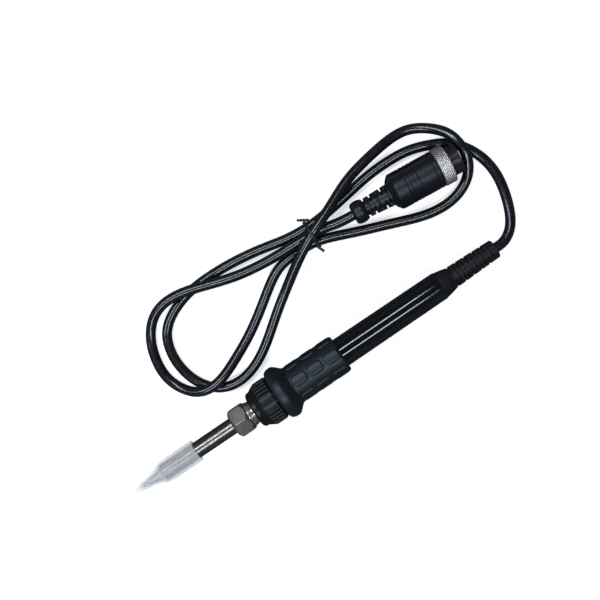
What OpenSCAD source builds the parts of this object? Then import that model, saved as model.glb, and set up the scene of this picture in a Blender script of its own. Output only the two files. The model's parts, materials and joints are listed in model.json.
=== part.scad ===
// Soldering iron handpiece with its hanked cord and round screw-ring plug.
// Millimetres. The iron lies on a flat surface along X with its tip end at -X, and +Z is up.
// Stations (s_...) are distances along the iron's own axis, measured back from the nose of the clear cap.

/* [Tip end] */
// Length of the clear protective cap
cap_len = 33.5; // [31:0.5:36]
// Outside diameter of the clear cap over the barrel
cap_d = 10.6; // [10.2:0.1:11.4]
// Outside diameter of the barrel that carries the tip
barrel_d = 7.7; // [7.5:0.1:7.8]
// Diameter of the ceramic heating element
heater_d = 3.8; // [3.4:0.1:3.9]
// Retaining nut, width across the flats
nut_af = 13.2; // [12.6:0.1:13.4]
// Retaining nut, corner direction round the axis in degrees
nut_clock = 0; // [0:5:60]

/* [Handle] */
// Diameter of the front collar between its ribs
collar_d = 21; // [20.5:0.1:21.4]
// Number of rib places round the front collar
rib_places = 32; // [24:8:40]
// Diameter of the hand guard flange
flange_d = 25.5; // [24:0.1:27]
// Diameter of the grip sleeve between its pads
grip_d = 18.4; // [18:0.1:18.8]
// Height of the raised grip pads
pad_h = 0.4; // [0.2:0.05:0.6]
// Handle tube diameter where it leaves the grip
tube_front_d = 13.9; // [13.4:0.1:14.4]
// Handle tube diameter at its rear end
tube_rear_d = 13.45; // [13.2:0.05:13.5]

/* [Cord and plug] */
// Cord diameter
cord_d = 4.75; // [4.4:0.05:4.8]
// Diameter of the plug body
plug_d = 17.4; // [16.4:0.1:17.6]
// Diameter of the plug's coupling ring
ring_d = 18; // [17.8:0.1:18.4]
// Number of grooves round the coupling ring
ring_grooves = 36; // [24:2:40]
// Number of contacts in the plug
contacts = 5; // [3:1:6]

/* [Hidden] */
$fn = 64;

// stations along the iron
s_tip = 3.7;
s_barrel = 15;
s_nut = 53.8;
s_nut_end = 62.2;
s_collar = 65.2;
s_collar_end = 77.2;
s_thread = 67.8;
s_grip = 77.6;
s_guard_back = 82;
s_sleeve = 86.5;
s_grip_end = 112.8;
s_tube_end = 167.2;
s_relief_end = 197.5;
s_jacket = 150;

run_fit = 0.05;
free_gap = 0.3;
barrel_r = barrel_d / 2;
lip_r = barrel_r - 1.25;
shank_r = barrel_r - 0.7;
thread_r = 4.95;
neck_r = 5.5;
collar_bore_r = 7.9;
tube_bore_r = 5.75;
seat_r = 7.6;
grip_r = grip_d / 2;
cord_r = cord_d / 2;
cord_bore_r = cord_r + 0.08;
relief_front_r = 5.2;
relief_back_r = 4.5;
relief_pitch = 2.2;
board_t = 1.6;
wire_r = 0.5;
lead_r = 0.35;

// how the iron lies: the guard's back edge and the tube's back edge both touch the surface
tilt = atan2((flange_d - tube_rear_d) / 2, s_tube_end - s_guard_back);
cap_nose_r = 1.3;
nose_x = cap_nose_r * (cos(tilt) - 1);
tail_x = s_relief_end * cos(tilt) + relief_back_r * sin(tilt);
lay = [-(nose_x + tail_x) / 2, 0, s_guard_back * sin(tilt) + flange_d / 2 * cos(tilt)];
function on_axis(s) = lay + [s * cos(tilt), 0, -s * sin(tilt)];

// the plug's own frame: from the back face of its boot towards its nose
plug_back = [53.6, 48.7, ring_d / 2];
plug_yaw = -5.5;
plug_axis = [cos(plug_yaw), sin(plug_yaw), 0];
p_ring = 43.1;
p_ring_end = 48.7;
p_nose = 53.7;
p_shell = 36;
slot_w = 0.9;
shell_r = 7.2;
shell_flange = 0.8;
nose_r = 6.8;
insert_r = 6;

// the cord's centre line, from the end of its jacket inside the handle to the plug's boot
fl = 2.4;
strand_low = 3.6;
strand_mid = 6.8;
strand_top = 11.7;
tie_x = 33;
route = concat([for (s = [s_jacket, 166, 182, s_relief_end]) on_axis(s)], [
    // out of the strain relief and round to the tie
    [103.6, 0.4, 4.1], [108.5, 3.1, 3.4], [112.9, 8.9, 2.7], [116.2, 17.5, fl], [118, 28, fl],
    [116.7, 38, fl], [113.2, 45.4, fl], [108.2, 51.3, fl], [101, 55.6, fl], [91, 59.2, fl], [80, 60.4, fl],
    [69, 60.1, fl], [57.5, 58.6, fl], [45, 56.9, 2.8], [tie_x, 56.2, strand_low],
    // inner loop on the tip side
    [21, 57.5, 2.8], [9, 60.2, fl], [-4, 62.3, fl], [-16.5, 63.2, fl], [-29.5, 62.5, fl],
    [-41.5, 58.8, fl], [-49.5, 52.5, fl], [-53, 43.5, fl], [-53, 34, fl], [-50, 25, fl], [-44, 18, fl],
    [-35, 14.8, fl], [-23, 17, fl], [-11, 24, fl], [-0.5, 31.8, fl], [9.5, 38.5, 4], [20, 45, 8.2],
    [tie_x, 51.8, strand_top],
    // loop on the plug side, round the plug's nose
    [46.5, 57.5, 10.4], [60, 63.3, 8], [74, 66.6, 6], [87, 68.2, 3.8], [96.5, 67, 2.8], [104, 62.3, 3.8],
    [109.3, 55.6, 6.4], [111, 48.5, 7.8], [110.6, 41.5, 6.8], [106.6, 34.4, 4], [98.8, 30, 2.6],
    [89.5, 29, fl], [79, 31, fl], [67, 35.5, fl], [54.5, 40.3, fl], [44, 44.6, 2.8],
    [tie_x, 48.4, strand_low],
    // outer loop on the tip side, over the inner one
    [24, 49.2, 3.1], [16, 49, 2.6], [8.5, 46.8, fl], [-3, 39.5, fl], [-16.5, 30.8, 2.6], [-30, 24, 5],
    [-41.5, 20, 7.6], [-51, 21, 6.4], [-58, 27, 3.4], [-61.5, 36, fl], [-60.5, 47, fl],
    [-56.5, 56, 2.6], [-49.5, 62.3, 4.4], [-40, 64.6, 6.6], [-29, 63, 7.6], [-18, 59.5, 7.5],
    [-7, 56.2, 7.2], [4, 54.2, 6.9], [14, 53.2, 6.8], [24, 52.8, 6.8], [tie_x, 52.3, strand_mid],
    // into the plug
    [39.5, 51.3, 7.2], [45, 49.9, 8.4], plug_back - 4 * plug_axis, plug_back]);

// ---- shared shapes ----

// a solid of revolution about the iron's axis, from [radius, station] points
module lathe(pts) rotate([0, 90, 0]) rotate_extrude() polygon(pts);

module sleeve(s0, s1, outer, inner) lathe([[inner, s0], [outer, s0], [outer, s1], [inner, s1]]);

module rod(s0, s1, r, y, z) translate([s0, y, z]) rotate([0, 90, 0]) cylinder(r = r, h = s1 - s0);

// puts a shape drawn along the iron's axis in its resting place
module laid() translate(lay) rotate([0, tilt, 0]) children();

module in_plug() translate(plug_back) rotate([0, 0, plug_yaw]) children();

// tube swept along a centre line, one ring of corners at each point
function unit(v) = v / norm(v);
function heading(p, i) = unit(p[min(i + 1, len(p) - 1)] - p[max(i - 1, 0)]);
function ring_at(p, i, r, sides) = let (t = heading(p, i), a = unit(cross([0, 0, 1], t)), b = cross(t, a))
    [for (k = [0:sides - 1]) p[i] + r * (cos(360 * k / sides) * a + sin(360 * k / sides) * b)];
module swept(p, r, sides) {
    rings = [for (i = [0:len(p) - 1]) each ring_at(p, i, r, sides)];
    last = (len(p) - 1) * sides;
    walls = [for (i = [0:len(p) - 2], k = [0:sides - 1]) let (n = (k + 1) % sides)
        [i * sides + k, (i + 1) * sides + k, (i + 1) * sides + n, i * sides + n]];
    polyhedron(rings, concat([[for (k = [0:sides - 1]) k]], walls, [[for (k = [sides - 1:-1:0]) last + k]]));
}

// ---- tip end ----

module protective_cap() color([0.8, 0.86, 0.9, 0.4]) laid() {
    cap_r = cap_d / 2;
    bore_r = barrel_r + free_gap;
    outside = [[0, 0], [0.8, 0.3], [cap_nose_r, 1.4], [1.8, 2.8], [2.2, 5.5], [2.6, 8.3], [3.2, 11.1],
        [3.6, 12.4], [4.3, 13.6], [cap_r - 0.4, 15.2], [cap_r - 0.15, 16.6], [cap_r, 19.4], [cap_r, cap_len]];
    inside = [[bore_r, cap_len], [bore_r, 14.6], [2.6, 12], [2.35, 11], [1.45, 5.5], [0.9, 2.7], [0, 2.3]];
    lathe(concat(outside, inside));
}

module soldering_tip() color([0.72, 0.72, 0.7]) laid() {
    bore_r = heater_d / 2 + free_gap;
    s_shank_end = 42;
    shoulder = s_barrel + 0.7;
    lathe([[0, s_tip], [0.3, s_tip + 0.05], [0.45, s_tip + 0.35], [0.75, 5.5], [1.3, 8.3], [1.9, 11],
        [2.25, 13], [lip_r - 0.1, 14.4], [lip_r - 0.1, shoulder], [shank_r, shoulder],
        [shank_r, s_shank_end], [bore_r, s_shank_end], [bore_r, 24.2], [0, 23]]);
}

module tip_enclosure() color([0.8, 0.8, 0.8]) laid()
    lathe([[lip_r, s_barrel], [barrel_r - 0.2, s_barrel], [barrel_r, s_barrel + 0.2], [barrel_r, s_nut + 1.1],
        [thread_r - 0.05, s_nut + 1.1], [thread_r - 0.05, s_nut + 2.1], [barrel_r - 0.45, s_nut + 2.1],
        [barrel_r - 0.45, s_barrel + 0.7], [lip_r, s_barrel + 0.7]]);

module retaining_nut() color([0.42, 0.42, 0.4]) laid() difference() {
    corner_r = nut_af / 2 / cos(30);
    bore_r = thread_r + run_fit;
    intersection() {
        rotate([nut_clock, 0, 0]) rotate([0, 90, 0]) translate([0, 0, s_nut])
            cylinder(r = corner_r, h = s_nut_end - s_nut, $fn = 6);
        lathe([[0, s_nut], [corner_r - 2.2, s_nut], [corner_r - 1, s_nut + 0.9],
            [corner_r + 0.1, s_nut + 1.9], [corner_r + 0.1, s_nut_end - 1.8],
            [corner_r - 1.2, s_nut_end], [0, s_nut_end]]);
    }
    lathe([[0, s_nut - 1], [barrel_r + 2 * run_fit, s_nut - 1], [barrel_r + 2 * run_fit, s_nut + 1],
        [bore_r, s_nut + 1], [bore_r, s_nut_end + 1], [0, s_nut_end + 1]]);
}

module threaded_nipple() color([0.78, 0.78, 0.76]) laid() {
    bore_r = 4;
    sleeve_bore_r = 4.8;
    sleeve_end = 71;
    first = s_nut + 2.3;
    depth = 0.4;
    // thread roots cut as rings, one millimetre apart
    crests = [for (s = [first + 0.6:1:s_nut_end - 0.6])
        each [[thread_r, s], [thread_r - depth, s + 0.25], [thread_r - depth, s + 0.45],
            [thread_r, s + 0.7]]];
    lathe(concat([[bore_r, first], [thread_r - depth, first], [thread_r, first + 0.3]], crests,
        [[thread_r, s_nut_end + 0.2], [neck_r + 0.6, s_nut_end + 0.2], [neck_r, s_collar - 0.4],
        [neck_r, s_collar + 1.6], [collar_bore_r - free_gap, s_collar + 1.6],
        [collar_bore_r - free_gap, s_thread - 0.2],
        [tube_bore_r - free_gap, s_thread - 0.2], [tube_bore_r - free_gap, sleeve_end],
        [sleeve_bore_r, sleeve_end], [sleeve_bore_r, s_nut_end + 1], [bore_r, s_nut_end + 0.2]]));
}

// ---- handle ----

module front_collar() color([0.05, 0.05, 0.055]) laid() {
    body_r = collar_d / 2;
    rib_r = 0.5;
    quarter = rib_places / 4;
    lathe([[neck_r + free_gap, s_collar], [body_r - 3.1, s_collar], [body_r - 2.2, s_collar + 0.4],
        [body_r - 1.8, s_collar + 1.2], [body_r - 1.6, s_collar + 2.6], [body_r - 0.9, s_collar + 3.6],
        [body_r - 0.2, s_collar + 5], [body_r, s_collar + 6], [body_r, s_collar_end],
        [collar_bore_r, s_collar_end], [collar_bore_r, s_collar + 1.4],
        [neck_r + free_gap, s_collar + 1.4]]);
    // ribs in four groups, with one place left smooth between groups
    for (k = [0:rib_places - 1]) if (k % quarter != 0) rotate([k * 360 / rib_places, 0, 0])
        rod(s_collar + 5.4, s_collar_end - 0.3, rib_r, 0, body_r - 0.12);
}

module handle_tube() color([0.03, 0.03, 0.035]) laid()
    lathe([[tube_bore_r, s_thread], [collar_bore_r - 0.5, s_thread],
        [collar_bore_r - run_fit, s_thread + 0.45], [collar_bore_r - run_fit, s_grip - 0.1],
        [seat_r, s_grip - 0.1], [seat_r, s_grip_end - 0.4], [tube_front_d / 2, s_grip_end - 0.4],
        [tube_rear_d / 2, s_tube_end], [tube_bore_r, s_tube_end]]);

module grip_pad(s, along, across) {
    cut = 0.8;
    a = along / 2;
    c = across / 2;
    translate([s, 0, grip_r - 1]) linear_extrude(3) polygon([[a, c - cut], [a - cut, c], [cut - a, c],
        [-a, c - cut], [-a, cut - c], [cut - a, -c], [a - cut, -c], [a, cut - c]]);
}

module grip_sleeve() color([0.1, 0.12, 0.15]) laid() {
    guard_r = flange_d / 2;
    bore_r = seat_r + run_fit;
    pad_clock = -9;
    pad_len = 7;
    pad_w = 4.8;
    guard = [[bore_r, s_grip], [10.7, s_grip], [11.8, s_grip + 0.5], [guard_r - 0.4, s_grip + 1.4],
        [guard_r - 0.1, s_grip + 2.2], [guard_r, s_grip + 3], [guard_r, s_guard_back],
        [guard_r - 0.15, s_guard_back + 0.7], [guard_r - 0.8, s_guard_back + 1.6]];
    lathe(concat(guard, [[grip_r + 0.4, s_sleeve - 0.6], [grip_r, s_sleeve], [grip_r, s_grip_end - 1],
        [grip_r - 0.4, s_grip_end - 0.2], [grip_r - 0.7, s_grip_end], [bore_r, s_grip_end]]));
    intersection() {
        sleeve(s_sleeve, s_grip_end, grip_r + pad_h, grip_r - 0.3);
        for (row = [0:5], s = [90.9, 99.3, 108.2])
            rotate([pad_clock + 60 * row, 0, 0]) grip_pad(s, pad_len, pad_w);
    }
}

ribs_from = 173.8;
relief_taper = (relief_back_r - relief_front_r) / (s_relief_end - ribs_from);
function env(s) = relief_front_r + relief_taper * (s - ribs_from);
module strain_relief() color([0.07, 0.07, 0.08]) laid() {
    s_front = 159;
    count = floor((s_relief_end - ribs_from - 1) / relief_pitch);
    width = 0.9;
    depth = 0.9;
    edge = 0.15;
    grooves = [for (k = [0:count]) let (s = ribs_from + k * relief_pitch) each [[env(s), s],
        [env(s) - depth, s + edge], [env(s) - depth, s + width - edge], [env(s), s + width]]];
    collar = [[6.5, s_tube_end + 0.1], [6.4, 168], [5.85, 171], [5.35, 172.8]];
    lathe(concat([[cord_bore_r, s_front], [tube_bore_r - run_fit, s_front],
        [tube_bore_r - run_fit, s_tube_end + 0.1]], collar, grooves,
        [[relief_back_r, s_relief_end - 0.3], [relief_back_r - 0.3, s_relief_end],
        [cord_bore_r, s_relief_end]]));
}

// ---- inside the handle ----

module heating_element() color([0.9, 0.9, 0.87]) laid() sleeve(24.6, 70, heater_d / 2, 0);

module heater_base() color([0.88, 0.87, 0.84]) laid() {
    bore_r = heater_d / 2 + run_fit;
    lathe([[bore_r, 68], [2.5, 68], [2.5, 75.4], [tube_bore_r - run_fit, 75.4], [tube_bore_r - run_fit, 79],
        [bore_r, 79]]);
}

lead_y = 0.9;
lead_z = board_t / 2 + lead_r + run_fit;
module heater_leads() color([0.75, 0.72, 0.6]) laid() for (y = [-lead_y, lead_y]) {
    rod(70, 86.5, lead_r, y, lead_z);
    rod(70, 89.5, lead_r, y, -lead_z);
}

// split spring ring behind the heater base, with a finger down to the board
module ground_clip() color([0.8, 0.78, 0.7]) laid() {
    finger_y = 2.6;
    difference() {
        sleeve(79, 83.6, tube_bore_r - run_fit, tube_bore_r - 0.6);
        translate([81, 0, -5]) cube([8, 2, 4], center = true);
    }
    translate([82, finger_y, board_t / 2]) cube([6, 1, 0.4]);
    translate([82, finger_y, board_t / 2]) cube([1.4, 1, 3.6]);
}

// each terminal pin as [station, side, 1 for the top face or -1 for the lower face]
wire_z = board_t / 2 + wire_r + run_fit;
top_y = [-1.25, 0, 1.25];
low_y = [-0.8, 0.8];
pin_r = 0.4;
pins = [for (y = [-lead_y, lead_y], f = [[86.95, 1], [89.95, -1]]) [f[0], y, f[1]],
    for (y = top_y) [111, y, 1], for (y = low_y) [107.5, y, -1]];
module pin(p, r, z0, z1) translate([p[0], p[1], min(p[2] * z0, p[2] * z1)])
    cylinder(r = r, h = z1 - z0);

module terminal_board() color([0.25, 0.4, 0.2]) laid() difference() {
    translate([84, -4.7, -board_t / 2]) cube([32, 9.4, board_t]);
    for (p = pins) pin(p, pin_r, -board_t, board_t);
}

module terminal_pins() color([0.85, 0.7, 0.35]) laid() for (p = pins) pin(p, pin_r, -board_t / 2, 2);

module inner_conductors() color([0.7, 0.2, 0.15]) laid() {
    for (y = top_y) rod(111.5, s_jacket, wire_r, y, wire_z);
    for (y = low_y) rod(108, s_jacket, wire_r, y, -wire_z);
}

module cord_clamp() color([0.9, 0.9, 0.88]) laid() difference() {
    sleeve(151, 157, tube_bore_r - free_gap, cord_bore_r);
    translate([154, 0, 4]) cube([8, 0.8, 5], center = true);
}

// ---- cord ----

module cord() color([0.04, 0.045, 0.05]) swept(route, cord_r, 12);

// strap round the four strands, with its two twisted ends
function arc(c, r, from, to, n) =
    [for (k = [0:n]) let (a = from + (to - from) * k / n) c + r * [cos(a), sin(a)]];
function wrap(r) = concat(arc([48.4, strand_low], r, 270, 158, 5), arc([51.8, strand_top], r, 158, 28, 6),
    arc([56.2, strand_low], r, 28, -90, 5));
module twisted_end(a, b) {
    d = b - a;
    translate(a) rotate([0, acos(d[2] / norm(d)), atan2(d[1], d[0])]) cylinder(r = 0.75, h = norm(d));
}
module twist_tie() color([0.09, 0.09, 0.1]) {
    inner = cord_r + 0.35;
    strap_w = 1.4;
    strap_t = 0.8;
    translate([tie_x - strap_w / 2, 0, 0]) rotate([90, 0, 90]) linear_extrude(strap_w) difference() {
        polygon(wrap(inner + strap_t));
        polygon(wrap(inner));
    }
    twisted_end([35.5, 58.5, 6.4], [31, 61.4, 6.8]);
    twisted_end([32, 46.4, 6.4], [33.4, 42.8, 5.8]);
}

// ---- plug ----

// a slot round the boot that leaves two webs standing
module boot_slot(s, w, clock) difference() {
    sleeve(s, s + w, 7, 3.4);
    rotate([clock, 0, 0]) translate([s + w / 2, 0, 0]) cube([w + 1, 2.6, 16], center = true);
}

module plug_housing() color([0.05, 0.055, 0.07]) in_plug() difference() {
    body_r = plug_d / 2;
    back = 19.4;
    line_w = 0.5;
    line_d = 0.3;
    lines = [for (s = [26.8, 28.7, 30.6, 32.5, 40.5]) each [[body_r, s], [body_r - line_d, s + 0.1],
        [body_r - line_d, s + line_w - 0.1], [body_r, s + line_w]]];
    boot = [[0, 0], [4.2, 0], [5, 0.8], [5.4, 2.2], [5.4, 4.2], [5, 5.6], [4.5, 6.2],
        [5.3, back - 0.4], [6.4, back], [body_r - 0.4, back + 1.7], [body_r, back + 2.3]];
    lathe(concat(boot, lines, [[body_r, p_ring - 0.5], [body_r - 0.3, p_ring - 0.2],
        [shell_r + run_fit, p_ring - 0.2], [shell_r + run_fit, p_shell], [0, p_shell]]));
    for (s = [6.2, 9.5, 15.1]) boot_slot(s, slot_w, 0);
    for (s = [7.9, 12.3, 17.2]) boot_slot(s, slot_w, 90);
}

module plug_shell() color([0.06, 0.06, 0.065]) in_plug() difference() {
    flange_r = shell_r + shell_flange;
    lathe([[insert_r, p_shell], [shell_r, p_shell], [shell_r, p_ring + 2], [flange_r, p_ring + 2],
        [flange_r, p_ring + 3.2], [shell_r, p_ring + 3.2], [shell_r, p_ring_end - 0.1],
        [nose_r, p_ring_end - 0.1], [nose_r, p_nose - 0.4], [nose_r - 0.3, p_nose],
        [insert_r, p_nose]]);
    // keyway
    translate([p_nose - 2, 0, -nose_r]) cube([6, 2.2, 3.2], center = true);
}

contact_r = 3.7;
module plug_insert() color([0.1, 0.1, 0.1]) in_plug() difference() {
    lathe([[0, 38], [insert_r - run_fit, 38], [insert_r - run_fit, p_nose - 0.8], [0, p_nose - 0.8]]);
    for (k = [0:contacts - 1]) rotate([k * 360 / contacts, 0, 0]) rod(37, p_nose, 1, 0, contact_r);
}

module plug_contacts() color([0.8, 0.68, 0.35]) in_plug()
    for (k = [0:contacts - 1]) rotate([k * 360 / contacts, 0, 0]) difference() {
        rod(37.5, p_nose - 1.1, 0.95, 0, contact_r);
        rod(47, p_nose, 0.55, 0, contact_r);
    }

module coupling_ring() color([0.78, 0.78, 0.76]) in_plug() difference() {
    r = ring_d / 2;
    inner = shell_r + free_gap;
    recess = inner + shell_flange;
    edge = 0.4;
    lathe([[inner, p_ring], [r - edge, p_ring], [r, p_ring + edge], [r, p_ring_end - edge],
        [r - edge, p_ring_end], [inner, p_ring_end], [inner, p_ring + 3.4], [recess, p_ring + 3.4],
        [recess, p_ring + 1.8], [inner, p_ring + 1.8]]);
    for (k = [0:ring_grooves - 1]) rotate([(k + 0.5) * 360 / ring_grooves, 0, 0])
        translate([p_ring - 1, 0, r]) rotate([45, 0, 0]) translate([0, -0.2, -0.2])
            cube([p_ring_end - p_ring + 2, 0.4, 0.4]);
}

protective_cap();
soldering_tip();
tip_enclosure();
retaining_nut();
threaded_nipple();
front_collar();
heating_element();
heater_base();
heater_leads();
ground_clip();
terminal_board();
terminal_pins();
handle_tube();
grip_sleeve();
strain_relief();
cord_clamp();
inner_conductors();
cord();
twist_tie();
plug_housing();
plug_shell();
plug_insert();
plug_contacts();
coupling_ring();
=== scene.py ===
import json
import math

import bpy
import numpy as np
from mathutils import Matrix, Vector


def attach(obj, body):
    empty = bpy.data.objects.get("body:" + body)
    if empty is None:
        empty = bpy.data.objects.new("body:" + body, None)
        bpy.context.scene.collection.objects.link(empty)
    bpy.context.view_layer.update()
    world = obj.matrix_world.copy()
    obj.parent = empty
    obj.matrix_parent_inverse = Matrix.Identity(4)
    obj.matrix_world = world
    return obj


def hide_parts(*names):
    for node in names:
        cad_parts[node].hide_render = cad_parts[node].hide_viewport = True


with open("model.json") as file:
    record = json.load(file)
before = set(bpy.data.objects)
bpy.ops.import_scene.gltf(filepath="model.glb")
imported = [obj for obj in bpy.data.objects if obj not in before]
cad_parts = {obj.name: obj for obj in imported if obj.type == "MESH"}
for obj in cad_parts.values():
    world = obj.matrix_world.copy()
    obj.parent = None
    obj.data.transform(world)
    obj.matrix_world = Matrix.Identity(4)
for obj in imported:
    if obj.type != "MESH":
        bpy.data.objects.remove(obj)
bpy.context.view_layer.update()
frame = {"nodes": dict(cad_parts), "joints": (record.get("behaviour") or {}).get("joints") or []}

MM = 0.001
TAU = 2 * math.pi

# Stations in mm. The iron's run from the nose of its cap and the plug's from the back of its boot.
COLLAR_JOINT = 70
RELIEF_END = 197.5
RING_JOINT = 45.9


# ---------------------------------------------------------------- places

def joint(name):
    return next(j for j in frame["joints"] if j["name"] == name)


def axis_frame(origin, along):
    """A frame with X along the given axis and Y level."""
    x = Vector(along).normalized()
    y = Vector((0, 0, 1)).cross(x).normalized()
    z = x.cross(y)
    turn = Matrix((x, y, z)).transposed().to_4x4()
    return Matrix.Translation(origin) @ turn


def iron_frame():
    """Its origin is the nose of the cap, and X runs back towards the cord."""
    out = Vector(joint("collar_turn")["axis"]).normalized()
    return axis_frame(Vector(joint("collar_turn")["pos_m"]) + out * COLLAR_JOINT * MM, -out)


def plug_frame():
    """Its origin is the back of the boot, and X runs towards the plug's nose."""
    along = Vector(joint("ring_turn")["axis"]).normalized()
    return axis_frame(Vector(joint("ring_turn")["pos_m"]) - along * RING_JOINT * MM, along)


IRON = iron_frame()
PLUG = plug_frame()
WORLD = Matrix.Identity(4)


def on_axis(station):
    """The point of the iron's axis at a station."""
    return IRON @ Vector((station * MM, 0, 0))


def mm(*points):
    return [Vector(p) * MM for p in points]


# ---------------------------------------------------------------- camera

def make_camera():
    """Looks almost straight down, turned so that the iron lies slantwise across the picture."""
    eye = Vector((41.018, 30.342, 400)) * MM
    aim = Vector((11.118, 30.342, 0)) * MM
    ahead = (aim - eye).normalized()
    heading = math.radians(55.794)
    up = Vector((math.cos(heading), math.sin(heading), 0))
    right = ahead.cross(up).normalized()
    up = right.cross(ahead)
    data = bpy.data.cameras.new("camera")
    data.sensor_width = 36
    data.lens = 51.36
    data.clip_start = 0.01
    camera = bpy.data.objects.new("camera", data)
    camera.matrix_world = Matrix.Translation(eye) @ Matrix((right, up, -ahead)).transposed().to_4x4()
    bpy.context.scene.collection.objects.link(camera)
    bpy.context.scene.camera = camera


make_camera()


# ---------------------------------------------------------------- the cord's route

# Millimetres. FL is the height of the cord's centre where it lies flat, and LOW, MID and TOP are its heights
# where the tie holds it. SKIN keeps the cord off the floor and the hidden sheath inside the seen one.
CORD_R = 2.375
FL = 2.4
LOW, MID, TOP = 3.6, 6.8, 11.7
TIE_X = 33
SKIN = 0.02


def route():
    """The same centre line as the CAD tube's, in metres."""
    plug_back = PLUG @ Vector((0, 0, 0))
    plug_lead = PLUG @ Vector((-4 * MM, 0, 0))
    out_and_round = mm(
        (103.6, 0.4, 4.1), (108.5, 3.1, 3.4), (112.9, 8.9, 2.7), (116.2, 17.5, FL), (118, 28, FL),
        (116.7, 38, FL), (113.2, 45.4, FL), (108.2, 51.3, FL), (101, 55.6, FL), (91, 59.2, FL),
        (80, 60.4, FL), (69, 60.1, FL), (57.5, 58.6, FL), (45, 56.9, 2.8), (TIE_X, 56.2, LOW))
    inner_loop = mm(
        (21, 57.5, 2.8), (9, 60.2, FL), (-4, 62.3, FL), (-16.5, 63.2, FL), (-29.5, 62.5, FL),
        (-41.5, 58.8, FL), (-49.5, 52.5, FL), (-53, 43.5, FL), (-53, 34, FL), (-50, 25, FL),
        (-44, 18, FL), (-35, 14.8, FL), (-23, 17, FL), (-11, 24, FL), (-0.5, 31.8, FL), (9.5, 38.5, 4),
        (20, 45, 8.2), (TIE_X, 51.8, TOP))
    plug_side = mm(
        (46.5, 57.5, 10.4), (60, 63.3, 8), (74, 66.6, 6), (87, 68.2, 3.8), (96.5, 67, 2.8),
        (104, 62.3, 3.8), (109.3, 55.6, 6.4), (111, 48.5, 7.8), (110.6, 41.5, 6.8), (106.6, 34.4, 4),
        (98.8, 30, 2.6), (89.5, 29, FL), (79, 31, FL), (67, 35.5, FL), (54.5, 40.3, FL), (44, 44.6, 2.8),
        (TIE_X, 48.4, LOW))
    outer_loop = mm(
        (24, 49.2, 3.1), (16, 49, 2.6), (8.5, 46.8, FL), (-3, 39.5, FL), (-16.5, 30.8, 2.6),
        (-30, 24, 5), (-41.5, 20, 7.6), (-51, 21, 6.4), (-58, 27, 3.4), (-61.5, 36, FL),
        (-60.5, 47, FL), (-56.5, 56, 2.6), (-49.5, 62.3, 4.4), (-40, 64.6, 6.6), (-29, 63, 7.6),
        (-18, 59.5, 7.5), (-7, 56.2, 7.2), (4, 54.2, 6.9), (14, 53.2, 6.8), (24, 52.8, 6.8),
        (TIE_X, 52.3, MID))
    into_plug = mm((39.5, 51.3, 7.2), (45, 49.9, 8.4)) + [plug_lead, plug_back]
    inside = [on_axis(s) for s in (150, 166, 182, RELIEF_END)]
    return np.array([tuple(p) for p in
                     inside + out_and_round + inner_loop + plug_side + outer_loop + into_plug])


def smooth_line(points, spacing):
    """A curvature-continuous line through the points, sampled evenly."""
    knots = np.r_[0, np.cumsum(np.sqrt(np.linalg.norm(np.diff(points, axis=0), axis=1)))]
    n, h = len(points), np.diff(knots)
    system, right = np.zeros((n, n)), np.zeros((n, 3))
    system[0, 0] = system[-1, -1] = 1
    for i in range(1, n - 1):
        system[i, i - 1:i + 2] = h[i - 1], 2 * (h[i - 1] + h[i]), h[i]
        right[i] = 6 * ((points[i + 1] - points[i]) / h[i] - (points[i] - points[i - 1]) / h[i - 1])
    bend = np.linalg.solve(system, right)
    fine = []
    for i in range(n - 1):
        for x in np.linspace(0, h[i], 16, endpoint=i == n - 2):
            a, b = h[i] - x, x
            fine.append((bend[i] * a ** 3 + bend[i + 1] * b ** 3) / (6 * h[i])
                        + (points[i] / h[i] - bend[i] * h[i] / 6) * a
                        + (points[i + 1] / h[i] - bend[i + 1] * h[i] / 6) * b)
    return evenly(np.array(fine), spacing)


def evenly(line, spacing):
    """The same line with its points the same distance apart."""
    far = np.r_[0, np.cumsum(np.linalg.norm(np.diff(line, axis=0), axis=1))]
    at = np.linspace(0, far[-1], int(far[-1] / spacing) + 1)
    return np.column_stack([np.interp(at, far, line[:, k]) for k in range(3)])


# ---------------------------------------------------------------- mesh helpers

def add_mesh(name, verts, faces, place=WORLD, crease=35):
    mesh = bpy.data.meshes.new(name)
    mesh.from_pydata([tuple(v) for v in verts], [], [tuple(f) for f in faces])
    mesh.update()
    mesh.shade_smooth()
    mesh.set_sharp_from_angle(angle=math.radians(crease))
    piece = bpy.data.objects.new(name, mesh)
    bpy.context.scene.collection.objects.link(piece)
    piece.matrix_world = place
    return piece


def soften(outline, size, closed=True):
    """Rounds each corner of a [station, radius] outline, in four steps."""
    points = [np.array(p, float) for p in outline]
    steps = 4
    last = len(points) - 1
    out = []
    for i, p in enumerate(points):
        if not closed and i in (0, last):
            out.append(p)
            continue
        before, after = points[i - 1], points[(i + 1) % len(points)]
        a, b = before - p, after - p
        la, lb = np.linalg.norm(a), np.linalg.norm(b)
        start = p + a / la * min(size, 0.4 * la)
        end = p + b / lb * min(size, 0.4 * lb)
        for t in np.linspace(0, 1, steps + 1):
            out.append((1 - t) ** 2 * start + 2 * t * (1 - t) * p + t * t * end)
    return out


def dense(outline, step, closed=True):
    """Adds points so that no part of the outline is longer than the step."""
    out = []
    count = len(outline) if closed else len(outline) - 1
    for i in range(count):
        a, b = np.array(outline[i], float), np.array(outline[(i + 1) % len(outline)], float)
        n = max(1, int(math.ceil(np.linalg.norm(b - a) / step)))
        out += [a + (b - a) * k / n for k in range(n)]
    if not closed:
        out.append(np.array(outline[-1], float))
    return out


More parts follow.
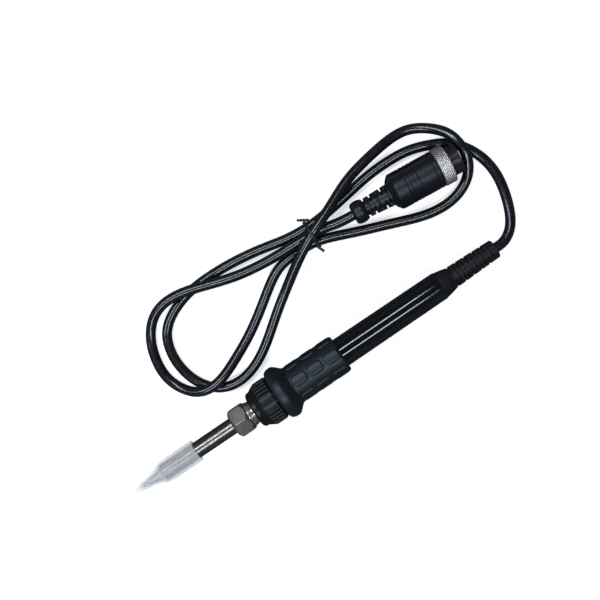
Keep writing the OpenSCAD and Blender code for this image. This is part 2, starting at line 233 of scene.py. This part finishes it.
def turned(name, place, outline, around=128, shape=None, closed=True, crease=35):
    """Revolves a [station, radius] outline in mm; shape(station, clock, radius) may move the surface."""
    pts = np.array(outline, float)
    clock = np.arange(around) * TAU / around
    station = np.repeat(pts[:, :1], around, 1)
    radius = np.repeat(pts[:, 1:], around, 1)
    if shape:
        radius = shape(station, np.repeat(clock[None, :], len(pts), 0), radius)
    ring = np.stack([station, -radius * np.sin(clock), radius * np.cos(clock)], -1) * MM
    verts = ring.reshape(-1, 3)
    rows = len(pts) if closed else len(pts) - 1
    faces = []
    for i in range(rows):
        a, b = i * around, (i + 1) % len(pts) * around
        for k in range(around):
            n = (k + 1) % around
            faces.append((a + k, a + n, b + n, b + k))
    verts, faces = join_poles(verts, faces, pts, around, closed)
    return add_mesh(name, verts, faces, place, crease)


def join_poles(verts, faces, pts, around, closed):
    """Where an open outline ends on the axis, its ring becomes one corner."""
    if closed:
        return verts, faces
    verts = list(map(tuple, verts))
    for row in (0, len(pts) - 1):
        if pts[row][1] < 1e-6:
            first = row * around
            ring = set(range(first, first + around))
            joined = []
            for f in faces:
                g = [first if v in ring else v for v in f]
                g = [v for i, v in enumerate(g) if v != g[i - 1]]
                joined.append(tuple(g))
            faces = joined
    used = sorted({v for f in faces for v in f})
    new = {v: i for i, v in enumerate(used)}
    return [verts[v] for v in used], [tuple(new[v] for v in f) for f in faces]


def line_frames(line):
    """Two cross directions along an open line, without extra twist."""
    ahead = np.roll(line, -1, 0) - np.roll(line, 1, 0)
    ahead[0], ahead[-1] = line[1] - line[0], line[-1] - line[-2]
    ahead /= np.linalg.norm(ahead, axis=1)[:, None]
    side = np.zeros_like(line)
    start = np.cross((0, 0, 1), ahead[0])
    side[0] = start / np.linalg.norm(start)
    for i in range(1, len(line)):
        v = side[i - 1] - ahead[i] * (side[i - 1] @ ahead[i])
        side[i] = v / np.linalg.norm(v)
    return side, np.cross(ahead, side)


def tube_parts(line, radius, sides, offset=0):
    """Corners and faces of a closed round tube along a line, with flat ends."""
    side, up = line_frames(line)
    a = np.arange(sides) * TAU / sides
    rings = (line[:, None, :] + radius * (np.cos(a)[None, :, None] * side[:, None, :]
                                          + np.sin(a)[None, :, None] * up[:, None, :]))
    verts = [tuple(v) for v in rings.reshape(-1, 3)]
    faces = []
    for i in range(len(line) - 1):
        for k in range(sides):
            n = (k + 1) % sides
            faces.append((i * sides + k, i * sides + n, (i + 1) * sides + n, (i + 1) * sides + k))
    last = (len(line) - 1) * sides
    faces.append(tuple(range(sides - 1, -1, -1)))
    faces.append(tuple(last + k for k in range(sides)))
    return verts, [tuple(v + offset for v in f) for f in faces]


def smoothstep(lo, hi, x):
    """Rises smoothly from 0 at lo to 1 at hi, or falls where lo is the larger."""
    t = np.clip((x - lo) / (hi - lo), 0, 1)
    return t * t * (3 - 2 * t)


# ---------------------------------------------------------------- material helpers

class Finish:
    """A procedural surface: small helpers round one Principled shader."""

    def __init__(self, name, **fixed):
        self.material = bpy.data.materials.new(name)
        self.material.use_nodes = True
        self.tree = self.material.node_tree
        self.tree.nodes.clear()
        out = self.tree.nodes.new("ShaderNodeOutputMaterial")
        self.shader = self.tree.nodes.new("ShaderNodeBsdfPrincipled")
        self.link(self.shader.outputs[0], out.inputs["Surface"])
        self.coords = self.tree.nodes.new("ShaderNodeTexCoord").outputs["Object"]
        for socket, value in fixed.items():
            self.shader.inputs[socket.replace("_", " ")].default_value = value

    def link(self, a, b):
        self.tree.links.new(a, b)

    def stretched(self, scale):
        node = self.tree.nodes.new("ShaderNodeMapping")
        node.inputs["Scale"].default_value = scale
        self.link(self.coords, node.inputs["Vector"])
        return node.outputs[0]

    def noise(self, scale, detail=3, stretch=None, distortion=0.0):
        node = self.tree.nodes.new("ShaderNodeTexNoise")
        node.inputs["Scale"].default_value = scale
        node.inputs["Detail"].default_value = detail
        node.inputs["Distortion"].default_value = distortion
        self.link(self.stretched(stretch) if stretch else self.coords, node.inputs["Vector"])
        return node.outputs["Fac"]

    def cells(self, scale, stretch):
        node = self.tree.nodes.new("ShaderNodeTexVoronoi")
        node.inputs["Scale"].default_value = scale
        self.link(self.stretched(stretch), node.inputs["Vector"])
        return node.outputs["Distance"]

    def edges(self):
        """Rises from 0 to 1 where the surface turns outwards."""
        geometry = self.tree.nodes.new("ShaderNodeNewGeometry")
        return self.spread(geometry.outputs["Pointiness"], 0.51, 0.56, 0, 1)

    def spread(self, value, lo, hi, low, high):
        """Maps the range lo to hi onto low to high."""
        node = self.tree.nodes.new("ShaderNodeMapRange")
        for socket, number in (("From Min", lo), ("From Max", hi), ("To Min", low), ("To Max", high)):
            node.inputs[socket].default_value = number
        self.link(value, node.inputs["Value"])
        return node.outputs[0]

    def times(self, a, b):
        node = self.tree.nodes.new("ShaderNodeMath")
        node.operation = "MULTIPLY"
        self.link(a, node.inputs[0])
        self.link(b, node.inputs[1])
        return node.outputs[0]

    def ramp(self, value, *stops):
        node = self.tree.nodes.new("ShaderNodeValToRGB")
        ramp = node.color_ramp
        while len(ramp.elements) < len(stops):
            ramp.elements.new(0.5)
        for element, (at, colour) in zip(ramp.elements, stops):
            element.position = at
            element.color = (*colour, 1)
        self.link(value, node.inputs[0])
        return node.outputs[0]

    def over(self, value, below, above):
        """Mixes two colours or colour outputs by a value."""
        node = self.tree.nodes.new("ShaderNodeMix")
        node.data_type = "RGBA"
        self.link(value, node.inputs["Factor"])
        for socket, colour in ((node.inputs[6], below), (node.inputs[7], above)):
            if isinstance(colour, tuple):
                socket.default_value = (*colour, 1)
            else:
                self.link(colour, socket)
        return node.outputs[2]

    def colour(self, output):
        self.link(output, self.shader.inputs["Base Color"])

    def roughness(self, value, low, high):
        self.link(self.spread(value, 0.3, 0.7, low, high), self.shader.inputs["Roughness"])

    def bump(self, value, depth):
        """Adds relief of a depth in mm to any that is there already."""
        node = self.tree.nodes.new("ShaderNodeBump")
        node.inputs["Distance"].default_value = depth * MM
        node.inputs["Strength"].default_value = 1.0
        self.link(value, node.inputs["Height"])
        previous = self.shader.inputs["Normal"].links
        if previous:
            self.link(previous[0].from_socket, node.inputs["Normal"])
        self.link(node.outputs[0], self.shader.inputs["Normal"])


def moulded(name, dark, light, rough, grain, depth, worn=None, **fixed):
    """A moulded plastic or rubber: mottled colour, fine grain, paler rubbed edges."""
    f = Finish(name, **fixed)
    mottle = f.noise(260, 4, distortion=0.3)
    fine = f.noise(grain, 4)
    tone = f.ramp(mottle, (0.35, dark), (0.65, light))
    if worn:
        tone = f.over(f.times(f.edges(), f.noise(900, 3)), tone, worn)
    f.colour(tone)
    f.roughness(fine, rough - 0.03, rough + 0.04)
    f.bump(fine, depth)
    return f


def turned_metal(name, dark, light, rough, lines, depth, worn=None):
    """A lathe-turned metal: fine lines round the axis, faint stains, bright edges."""
    f = Finish(name, Metallic=1.0)
    stain = f.noise(150, 4, distortion=0.4)
    cut = f.noise(lines, 2, stretch=(1, 0.04, 0.04))
    tone = f.ramp(stain, (0.35, dark), (0.65, light))
    if worn:
        tone = f.over(f.edges(), tone, worn)
    f.colour(tone)
    f.roughness(f.noise(700, 3), rough - 0.04, rough + 0.08)
    f.bump(cut, depth)
    return f


# ---------------------------------------------------------------- materials

def clear_vinyl():
    f = Finish("clear_vinyl", IOR=1.46, Specular_IOR_Level=0.45, Coat_Weight=0.2, Coat_Roughness=0.14)
    haze = f.noise(240, 4, distortion=0.6)
    scuff = f.noise(900, 4, stretch=(0.2, 1, 1))
    f.colour(f.ramp(haze, (0.3, (0.80, 0.84, 0.89)), (0.7, (0.87, 0.90, 0.94))))
    f.roughness(scuff, 0.28, 0.4)
    f.bump(haze, 0.015)
    facing = f.tree.nodes.new("ShaderNodeLayerWeight")
    facing.inputs["Blend"].default_value = 0.45
    veil = f.spread(facing.outputs["Facing"], 0, 1, 0.36, 0.52)
    f.link(f.times(veil, f.spread(haze, 0.3, 0.7, 0.92, 1.08)), f.shader.inputs["Alpha"])
    return f.material


def plated_tip():
    return turned_metal("plated_tip", (0.42, 0.42, 0.41), (0.60, 0.60, 0.58), 0.34, 2600, 0.004).material


def stainless():
    return turned_metal("stainless", (0.22, 0.213, 0.21), (0.29, 0.29, 0.305), 0.26, 700, 0.0002).material


def nut_steel():
    f = turned_metal("nut_steel", (0.25, 0.248, 0.235), (0.35, 0.345, 0.325), 0.54, 2400, 0.005,
                     worn=(0.4, 0.4, 0.38))
    f.bump(f.noise(1800, 4), 0.008)
    return f.material


def bright_steel():
    return turned_metal("bright_steel", (0.72, 0.72, 0.71), (0.86, 0.86, 0.85), 0.26, 700, 0.0002).material


def collar_plastic():
    return moulded("collar_plastic", (0.0045, 0.005, 0.007), (0.009, 0.010, 0.013), 0.34, 2600, 0.005,
                   worn=(0.04, 0.043, 0.052), Specular_IOR_Level=0.4,
                   Specular_Tint=(0.8, 0.9, 1, 1)).material


def tube_plastic():
    return moulded("tube_plastic", (0.004, 0.0045, 0.006), (0.007, 0.008, 0.011), 0.1, 300, 0.0002,
                   Specular_IOR_Level=0.8, Specular_Tint=(0.86, 0.94, 1, 1)).material


def grip_rubber():
    f = moulded("grip_rubber", (0.0045, 0.007, 0.011), (0.0085, 0.0125, 0.0175), 0.44, 3000, 0.008,
                worn=(0.045, 0.056, 0.075), Specular_IOR_Level=0.62,
                Specular_Tint=(0.72, 0.88, 1, 1))
    f.bump(f.noise(700, 3), 0.015)
    return f.material


def relief_rubber():
    return moulded("relief_rubber", (0.0025, 0.0035, 0.005), (0.0055, 0.007, 0.0105), 0.46, 2600, 0.008,
                   worn=(0.03, 0.034, 0.044)).material


def alumina():
    return moulded("alumina", (0.74, 0.73, 0.68), (0.86, 0.855, 0.82), 0.5, 2200, 0.006).material


def tinned_wire():
    return turned_metal("tinned_wire", (0.52, 0.51, 0.48), (0.70, 0.69, 0.66), 0.3, 1800, 0.004).material


def spring_steel():
    return turned_metal("spring_steel", (0.50, 0.49, 0.46), (0.68, 0.67, 0.64), 0.24, 2000, 0.003).material


def board_laminate():
    f = Finish("board_laminate", Coat_Weight=0.4, Coat_Roughness=0.15)
    weave = f.cells(1400, stretch=(1, 1, 0.2))
    f.colour(f.ramp(weave, (0.1, (0.035, 0.15, 0.06)), (0.7, (0.06, 0.24, 0.10))))
    f.roughness(f.noise(600), 0.35, 0.5)
    f.bump(weave, 0.01)
    return f.material


def pin_brass():
    return turned_metal("pin_brass", (0.66, 0.48, 0.20), (0.84, 0.66, 0.32), 0.22, 2200, 0.003).material


def wire_insulation():
    return moulded("wire_insulation", (0.30, 0.03, 0.02), (0.42, 0.055, 0.035), 0.36, 1600, 0.004).material


def clamp_nylon():
    return moulded("clamp_nylon", (0.66, 0.64, 0.57), (0.78, 0.77, 0.71), 0.46, 1500, 0.006,
                   Subsurface_Weight=0.1).material


def cord_pvc():
    f = moulded("cord_pvc", (0.0045, 0.005, 0.007), (0.009, 0.0105, 0.014), 0.22, 500, 0.0004,
                Specular_IOR_Level=1.0, Specular_Tint=(0.82, 0.9, 1, 1))
    f.bump(f.noise(90, 2), 0.01)
    return f.material


def tie_pvc():
    return moulded("tie_pvc", (0.018, 0.019, 0.023), (0.03, 0.032, 0.038), 0.42, 1800, 0.008,
                   worn=(0.08, 0.085, 0.095)).material


def plug_rubber():
    return moulded("plug_rubber", (0.002, 0.0025, 0.004), (0.0045, 0.0055, 0.009), 0.42, 2600, 0.005,
                   worn=(0.03, 0.034, 0.048), Specular_IOR_Level=0.66,
                   Specular_Tint=(0.76, 0.82, 1, 1)).material


def shell_black():
    return moulded("shell_black", (0.008, 0.0085, 0.01), (0.014, 0.015, 0.017), 0.34, 1800, 0.004,
                   worn=(0.05, 0.05, 0.055)).material


def insert_bakelite():
    return moulded("insert_bakelite", (0.012, 0.011, 0.010), (0.022, 0.02, 0.018), 0.42, 1500, 0.006).material


def ring_aluminium():
    return turned_metal("ring_aluminium", (0.62, 0.62, 0.63), (0.80, 0.80, 0.81), 0.42, 1800, 0.003,
                        worn=(0.86, 0.86, 0.85)).material


# ---------------------------------------------------------------- placing the pieces

finishes = {}


def finish(make):
    """Each material is made once and shared."""
    if make not in finishes:
        finishes[make] = make()
    return finishes[make]


def place_piece(piece, body, make, *nodes):
    """Gives a new piece its material and its body, and hides the CAD nodes that it stands for."""
    piece.data.materials.append(finish(make))
    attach(piece, body)
    if nodes:
        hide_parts(*nodes)
    return piece


def keep_node(name, make):
    """A CAD node whose shape stays gets its procedural material."""
    node = frame["nodes"][name]
    material = finish(make)
    if not node.material_slots:
        node.data.materials.append(material)
    for s in node.material_slots:
        s.material = material


# ---------------------------------------------------------------- cord and tie

def make_cord():
    """One sheath seen from inside the strain relief to the plug, and one hidden in the handle."""
    steps_inside, overlap = 20, 2
    line = smooth_line(route(), 1.2 * MM)
    line[:, 2] = np.maximum(line[:, 2], (CORD_R + SKIN) * MM)
    exit_at = np.array(on_axis(RELIEF_END))
    leaves = int(np.argmin(np.linalg.norm(line - exit_at, axis=1)))
    start = leaves - steps_inside
    path = line[start:]
    verts, faces = tube_parts(path, CORD_R * MM, 28)
    cord = place_piece(add_mesh("cord_sheath", verts, faces), "handle", cord_pvc, "cord")
    inner = line[:start + overlap]
    verts, faces = tube_parts(inner, (CORD_R - SKIN) * MM, 20)
    place_piece(add_mesh("cord_sheath_inside", verts, faces), "handle", cord_pvc, "cord")
    free = line[leaves:]
    length = float(np.linalg.norm(np.diff(free, axis=0), axis=1).sum())
    return cord, path, exit_at, length


def wrap_line(radius, count):
    """The tie's closed line round the strands, in the plane across them, in mm."""
    strands = [((48.4, LOW), 270, 158), ((51.8, TOP), 158, 28), ((56.2, LOW), 28, -90)]
    line = []
    for (y, z), start, end in strands:
        for a in np.radians(np.linspace(start, end, count)):
            line.append((TIE_X, y + radius * math.cos(a), z + radius * math.sin(a)))
    return np.array(line)


def strap_parts(line, width, thick):
    """A flat strap with round edges along a closed line that lies across X."""
    ahead = np.roll(line, -1, 0) - np.roll(line, 1, 0)
    ahead /= np.linalg.norm(ahead, axis=1)[:, None]
    across = np.array([1.0, 0, 0])
    out = np.cross(across, ahead)
    section = []
    for k in range(16):
        a = k * TAU / 16
        x = math.copysign(abs(math.cos(a)) ** 0.5, math.cos(a)) * width / 2
        y = math.copysign(abs(math.sin(a)) ** 0.7, math.sin(a)) * thick / 2
        section.append((x, y))
    verts, faces, n = [], [], len(section)
    for p, o in zip(line, out):
        verts += [tuple((p + across * x + o * y) * MM) for x, y in section]
    for i in range(len(line)):
        j = (i + 1) % len(line)
        for k in range(n):
            m = (k + 1) % n
            faces.append((i * n + k, i * n + m, j * n + m, j * n + k))
    return verts, faces


def twisted_parts(a, b, offset):
    """Two strands twisted together between two points."""
    lay, strand_r, twist_r = 2.4, 0.4, 0.33
    a, b = np.array(a, float), np.array(b, float)
    along = b - a
    length = np.linalg.norm(along)
    along /= length
    u = np.cross(along, (0, 0, 1))
    u /= np.linalg.norm(u)
    v = np.cross(along, u)
    verts, faces = [], []
    for phase in (0, math.pi):
        line = []
        for t in np.linspace(0, 1, 26):
            turn = phase + t * length / lay * TAU
            line.append((a + along * t * length + twist_r * (math.cos(turn) * u + math.sin(turn) * v)) * MM)
        more, walls = tube_parts(np.array(line), strand_r * MM, 12, offset + len(verts))
        verts += more
        faces += walls
    return verts, faces


def make_tie():
    verts, faces = strap_parts(wrap_line(CORD_R + 0.5, 16), 1.5, 0.7)
    for a, b in (((35.5, 58.5, 6.4), (31, 61.4, 6.8)), ((32, 46.4, 6.4), (33.4, 42.8, 5.8))):
        more, walls = twisted_parts(a, b, len(verts))
        verts += more
        faces += walls
    return place_piece(add_mesh("wire_tie", verts, faces), "handle", tie_pvc, "twist_tie")


cord_piece, cord_path, cord_exit, cord_length = make_cord()
tie_piece = make_tie()


# ---------------------------------------------------------------- tip end

def make_cap():
    outside = [(0, 0), (0.1, 0.45), (0.35, 0.85), (0.8, 1.12), (1.5, 1.36), (2.8, 1.8), (5.5, 2.2),
               (8.3, 2.6), (11.1, 3.2), (12.4, 3.6), (13.6, 4.3), (15.2, 4.9), (16.6, 5.15), (19.4, 5.3),
               (33.35, 5.3)]
    inside = [(33.5, 5.2), (33.5, 4.25), (33.3, 4.15), (14.6, 4.15), (12, 2.6), (11, 2.35), (5.5, 1.45),
              (2.7, 0.9), (2.3, 0)]
    outline = dense(soften(outside + inside, 0.5, closed=False), 0.6, closed=False)

    def uneven(s, clock, r):
        sag = 0.05 * np.sin(2 * clock + 0.6) * smoothstep(14, 24, s)
        flat = 0.12 * np.cos(2 * clock + 1.1) * smoothstep(9, 2, s)
        return r * (1 + flat * 0.6) + np.where(r > 0.5, sag, 0)

    return place_piece(turned("cap_shell", IRON, outline, 96, uneven, closed=False), "cap",
                       clear_vinyl, "protective_cap")


def make_tip():
    outline = [(3.7, 0), (3.76, 0.28), (4.05, 0.45), (5.5, 0.75), (8.3, 1.3), (11, 1.9), (13, 2.25),
               (14.4, 2.5), (15.7, 2.5), (15.7, 3.15), (42, 3.15), (42, 2.2), (24.2, 2.2), (23, 0)]
    return place_piece(turned("tip_cone", IRON, dense(soften(outline, 0.15, closed=False), 1, closed=False),
                              72, closed=False), "barrel", plated_tip, "soldering_tip")


def make_barrel():
    outline = [(15, 2.6), (15, 3.65), (15.2, 3.85), (54.9, 3.85), (54.9, 4.9), (55.9, 4.9), (55.9, 3.4),
               (15.7, 3.4), (15.7, 2.6)]
    return place_piece(turned("barrel_tube", IRON, dense(soften(outline, 0.15), 3), 96), "barrel",
                       stainless, "tip_enclosure")


def make_nut():
    flat_r = 6.6
    corner_r = flat_r / math.cos(math.pi / 6)
    outline = [(53.8, 3.96), (53.8, corner_r - 2.2), (54.7, corner_r - 1), (55.7, corner_r + 0.1),
               (60.4, corner_r + 0.1), (62.2, corner_r - 1.2), (62.2, 5.02), (54.8, 5.02), (54.8, 3.96)]

    def hexagon(s, clock, r):
        turn = (clock + math.pi / 6) % (math.pi / 3) - math.pi / 6
        side = flat_r / np.cos(math.pi / 6 - np.abs(turn))
        side = np.minimum(side, corner_r - 0.12)
        return np.where(r > 5.1, np.minimum(r, side), r)

    return place_piece(turned("hex_nut", IRON, dense(soften(outline, 0.25), 0.16), 288, hexagon, crease=18),
                       "nut", nut_steel, "retaining_nut")


def make_nipple():
    outline = [(56.1, 4), (56.1, 4.6), (56.4, 4.94), (62.3, 4.94), (62.4, 6.1), (64.8, 5.5), (66.8, 5.5),
               (66.8, 7.6), (67.6, 7.6), (67.6, 5.45), (71, 5.45), (71, 4.8), (63.2, 4.8), (62.4, 4)]

    pitch, depth = 1.0, 0.36

    def thread(s, clock, r):
        phase = (s / pitch - clock / TAU) % 1.0
        cut = depth * (1 - np.abs(2 * phase - 1)) ** 1.2
        live = smoothstep(56.2, 56.7, s) * smoothstep(62.25, 61.9, s)
        return np.where((r > 4.5) & (s < 62.3), r - cut * live, r)

    return place_piece(turned("screw_nipple", IRON, dense(soften(outline, 0.12), 0.12), 96, thread),
                       "nipple", bright_steel, "threaded_nipple")


# ---------------------------------------------------------------- handle

def make_collar():
    places, rib_h = 32, 0.38
    outline = [(65.2, 5.8), (65.2, 7.4), (65.6, 8.3), (66.4, 8.7), (67.8, 8.9), (68.8, 9.6), (70.2, 10.3),
               (71.2, 10.5), (77.2, 10.5), (77.2, 7.9), (66.6, 7.9), (66.6, 5.8)]

    def ribs(s, clock, r):
        place = clock / TAU * places
        nearest = np.round(place)
        off = np.abs(place - nearest)
        smooth_place = np.isclose(nearest % (places // 4), 0)
        rise = rib_h * np.sqrt(np.clip(1 - (off / 0.27) ** 2, 0, 1))
        ends = smoothstep(70.0, 71.0, s) * smoothstep(77.0, 76.5, s)
        return r + np.where((r > 9.9) & ~smooth_place, rise * ends, 0)

    return place_piece(turned("union_collar", IRON, dense(soften(outline, 0.4), 0.22), places * 18, ribs,
                              crease=50), "collar", collar_plastic, "front_collar")


def make_tube():
    outline = [(67.8, 5.75), (67.8, 7.4), (68.25, 7.85), (77.5, 7.85), (77.5, 7.6), (112.4, 7.6),
               (112.4, 6.95), (167.2, 6.72), (167.2, 5.75)]
    return place_piece(turned("tube_body", IRON, dense(soften(outline, 0.2), 2), 160), "handle",
                       tube_plastic, "handle_tube")


def make_grip():
    grip_r, pad_h = 9.2, 0.4
    outline = [(77.6, 7.65), (77.6, 10.7), (78.1, 11.8), (79, 12.35), (79.8, 12.65), (80.6, 12.75),
               (81.6, 12.75), (82.5, 12.6), (83.4, 12.0), (85.9, 9.65), (86.5, 9.25), (87.2, grip_r),
               (111.8, grip_r), (112.5, 8.8), (112.8, 8.4), (112.8, 7.65)]

    def pads(s, clock, r):
        row = (clock + math.radians(9)) % (math.pi / 3)
        across = np.minimum(row, math.pi / 3 - row) * grip_r
        rise = np.zeros_like(s)
        for centre in (90.9, 99.3, 108.2):
            along = np.abs(s - centre)
            corner = np.clip(along - 2.1, 0, None) ** 2 + np.clip(across - 1.0, 0, None) ** 2
            out = np.sqrt(corner) - 1.4
            rise = np.maximum(rise, 1 - smoothstep(-0.3, 0.35, out))
        return np.where((r > 9.15) & (s > 87), r + rise * pad_h, r)

    return place_piece(turned("grip_body", IRON, dense(soften(outline, 0.5), 0.22), 400, pads, crease=50),
                       "handle", grip_rubber, "grip_sleeve")


def make_relief():
    first, pitch, width, count = 173.8, 2.2, 0.9, 10
    outline = [(159, 2.46), (159, 5.7), (167.3, 5.7), (167.3, 6.5), (168, 6.4), (171, 5.85),
               (172.8, 5.35), (first, 5.2), (197.2, 4.5), (RELIEF_END, 4.2), (RELIEF_END, 2.46)]

    def slots(s, clock, r):
        place = (s - first) / pitch
        k = np.floor(place)
        within = (place - k) * pitch
        cut = smoothstep(0.0, 0.14, within) * smoothstep(width, width - 0.14, within)
        live = (k >= 0) & (k < count)
        turn = np.where(k % 2 == 0, 0, math.pi / 2)
        web = np.abs(np.sin(clock - turn)) * r
        open_part = smoothstep(1.0, 1.35, web)
        deep = 0.9 * cut * open_part
        return np.where((r > 4) & (s > first - 0.1) & (s < RELIEF_END - 0.6), r - deep * live, r)

    return place_piece(turned("relief_sleeve", IRON, dense(soften(outline, 0.25), 0.11), 180, slots,
                              crease=40), "handle", relief_rubber, "strain_relief")


# ---------------------------------------------------------------- plug

def make_housing():
    outline = [(0, 2.4), (0, 4.2), (0.8, 5), (2.2, 5.4), (4.2, 5.4), (5.6, 5), (6.2, 4.5), (19, 5.3),
               (19.4, 6.4), (21.1, 8.3), (21.7, 8.7), (42.6, 8.7), (42.9, 8.4), (42.9, 7.25), (36, 7.25),
               (36, 2.4)]
    slots = [(6.2, 0), (9.5, 0), (15.1, 0), (7.9, 90), (12.3, 90), (17.2, 90)]

    def cuts(s, clock, r):
        out = r.copy()
        for start, web_clock in slots:
            cut = smoothstep(start, start + 0.12, s) * smoothstep(start + 0.95, start + 0.83, s)
            web = np.abs(np.sin(clock - math.radians(web_clock))) * r
            out = out - np.where(r > 4, (r - 3.5) * cut * smoothstep(1.3, 1.6, web), 0)
        for start in (26.8, 28.7, 30.6, 32.5, 40.5):
            cut = smoothstep(start - 0.05, start + 0.12, s) * smoothstep(start + 0.55, start + 0.38, s)
            out = out - np.where(r > 8, 0.3 * cut, 0)
        return out

    return place_piece(turned("plug_moulding", PLUG, dense(soften(outline, 0.3), 0.11), 180, cuts,
                              crease=40), "handle", plug_rubber, "plug_housing")


def make_ring():
    outline = [(43.1, 7.5), (43.1, 8.6), (43.5, 8.97), (48.3, 8.97), (48.7, 8.6), (48.7, 7.5), (46.5, 7.5),
               (46.5, 8.3), (44.9, 8.3), (44.9, 7.5)]
    teeth, lead = 44, 0.62

    def knurl(s, clock, r):
        place = clock / TAU * teeth
        one = (place + s * lead) % 1.0
        two = (place - s * lead) % 1.0
        cut = 0.2 * smoothstep(0.6, 0.0, np.abs(one - 0.5) * 2)
        cut = np.maximum(cut, 0.1 * smoothstep(0.4, 0.0, np.abs(two - 0.5) * 2))
        live = smoothstep(43.45, 43.65, s) * smoothstep(48.35, 48.15, s)
        return np.where(r > 8.7, r - cut * live, r)

    return place_piece(turned("lock_ring", PLUG, dense(soften(outline, 0.14), 0.13), teeth * 14, knurl,
                              crease=50), "ring", ring_aluminium, "coupling_ring")


def make_pieces():
    make_cap()
    make_tip()
    make_barrel()
    make_nut()
    make_nipple()
    make_collar()
    make_tube()
    make_grip()
    make_relief()
    make_ring()
    return make_housing()


def finish_kept_nodes():
    keep_node("heating_element", alumina)
    keep_node("heater_base", alumina)
    keep_node("heater_leads", tinned_wire)
    keep_node("ground_clip", spring_steel)
    keep_node("terminal_board", board_laminate)
    keep_node("terminal_pins", pin_brass)
    keep_node("inner_conductors", wire_insulation)
    keep_node("cord_clamp", clamp_nylon)
    keep_node("plug_shell", shell_black)
    keep_node("plug_insert", insert_bakelite)
    keep_node("plug_contacts", pin_brass)


def finish_hidden_nodes():
    """CAD nodes that a piece stands for still carry the right material."""
    for name, make in (("protective_cap", clear_vinyl), ("soldering_tip", plated_tip),
                       ("tip_enclosure", stainless), ("retaining_nut", nut_steel),
                       ("threaded_nipple", bright_steel), ("front_collar", collar_plastic),
                       ("handle_tube", tube_plastic), ("grip_sleeve", grip_rubber),
                       ("strain_relief", relief_rubber), ("cord", cord_pvc), ("twist_tie", tie_pvc),
                       ("plug_housing", plug_rubber), ("coupling_ring", ring_aluminium)):
        keep_node(name, make)


housing = make_pieces()
finish_kept_nodes()
finish_hidden_nodes()


# ---------------------------------------------------------------- stage and light

STRIP_LENGTH = 1.1
STRIP_CENTRE_X = -0.3

def make_floor():
    half = 2.0
    floor = add_mesh("floor", [(-half, -half, 0), (half, -half, 0), (half, half, 0), (-half, half, 0)],
                     [(0, 1, 2, 3)])
    f = Finish("floor_white", Roughness=0.9, Specular_IOR_Level=0.0, Emission_Strength=0.68)
    f.shader.inputs["Emission Color"].default_value = (1, 1, 1, 1)
    f.shader.inputs["Base Color"].default_value = (0.86, 0.86, 0.86, 1)
    floor.data.materials.append(f.material)
    floor.visible_glossy = False


def strip_light(name, angle, width, power):
    """A long narrow soft light along the iron, at an angle from straight above."""
    data = bpy.data.lights.new(name, "AREA")
    data.shape = "RECTANGLE"
    data.size = STRIP_LENGTH
    data.size_y = width
    data.energy = power
    data.color = (0.94, 0.97, 1.0)
    light = bpy.data.objects.new(name, data)
    a = math.radians(angle)
    light.matrix_world = (Matrix.Translation((STRIP_CENTRE_X, math.sin(a), math.cos(a)))
                          @ Matrix.Rotation(-a, 4, "X"))
    bpy.context.scene.collection.objects.link(light)


def make_world():
    """A dim studio: a faint band of light at the horizon, darker above and below."""
    world = bpy.data.worlds.new("studio")
    world.use_nodes = True
    tree = world.node_tree
    tree.nodes.clear()
    out = tree.nodes.new("ShaderNodeOutputWorld")
    back = tree.nodes.new("ShaderNodeBackground")
    coords = tree.nodes.new("ShaderNodeTexCoord")
    split = tree.nodes.new("ShaderNodeSeparateXYZ")
    ramp = tree.nodes.new("ShaderNodeValToRGB")
    shift = tree.nodes.new("ShaderNodeMapRange")
    shift.inputs["From Min"].default_value = -1
    tree.links.new(coords.outputs["Generated"], split.inputs[0])
    tree.links.new(split.outputs["Z"], shift.inputs["Value"])
    tree.links.new(shift.outputs[0], ramp.inputs[0])
    tree.links.new(ramp.outputs[0], back.inputs["Color"])
    tree.links.new(back.outputs[0], out.inputs["Surface"])
    stops = ((0.0, 0.04), (0.42, 0.06), (0.5, 0.13), (0.62, 0.10), (0.8, 0.05), (1.0, 0.04))
    while len(ramp.color_ramp.elements) < len(stops):
        ramp.color_ramp.elements.new(0.5)
    for element, (at, grey) in zip(ramp.color_ramp.elements, stops):
        element.position = at
        element.color = (grey * 0.94, grey * 0.98, grey * 1.06, 1)
    bpy.context.scene.world = world


make_floor()
strip_light("strip_left", 26, 0.09, 4.8)
strip_light("strip_right", -21, 0.09, 4.8)
make_world()
bpy.context.scene.view_settings.view_transform = "Standard"
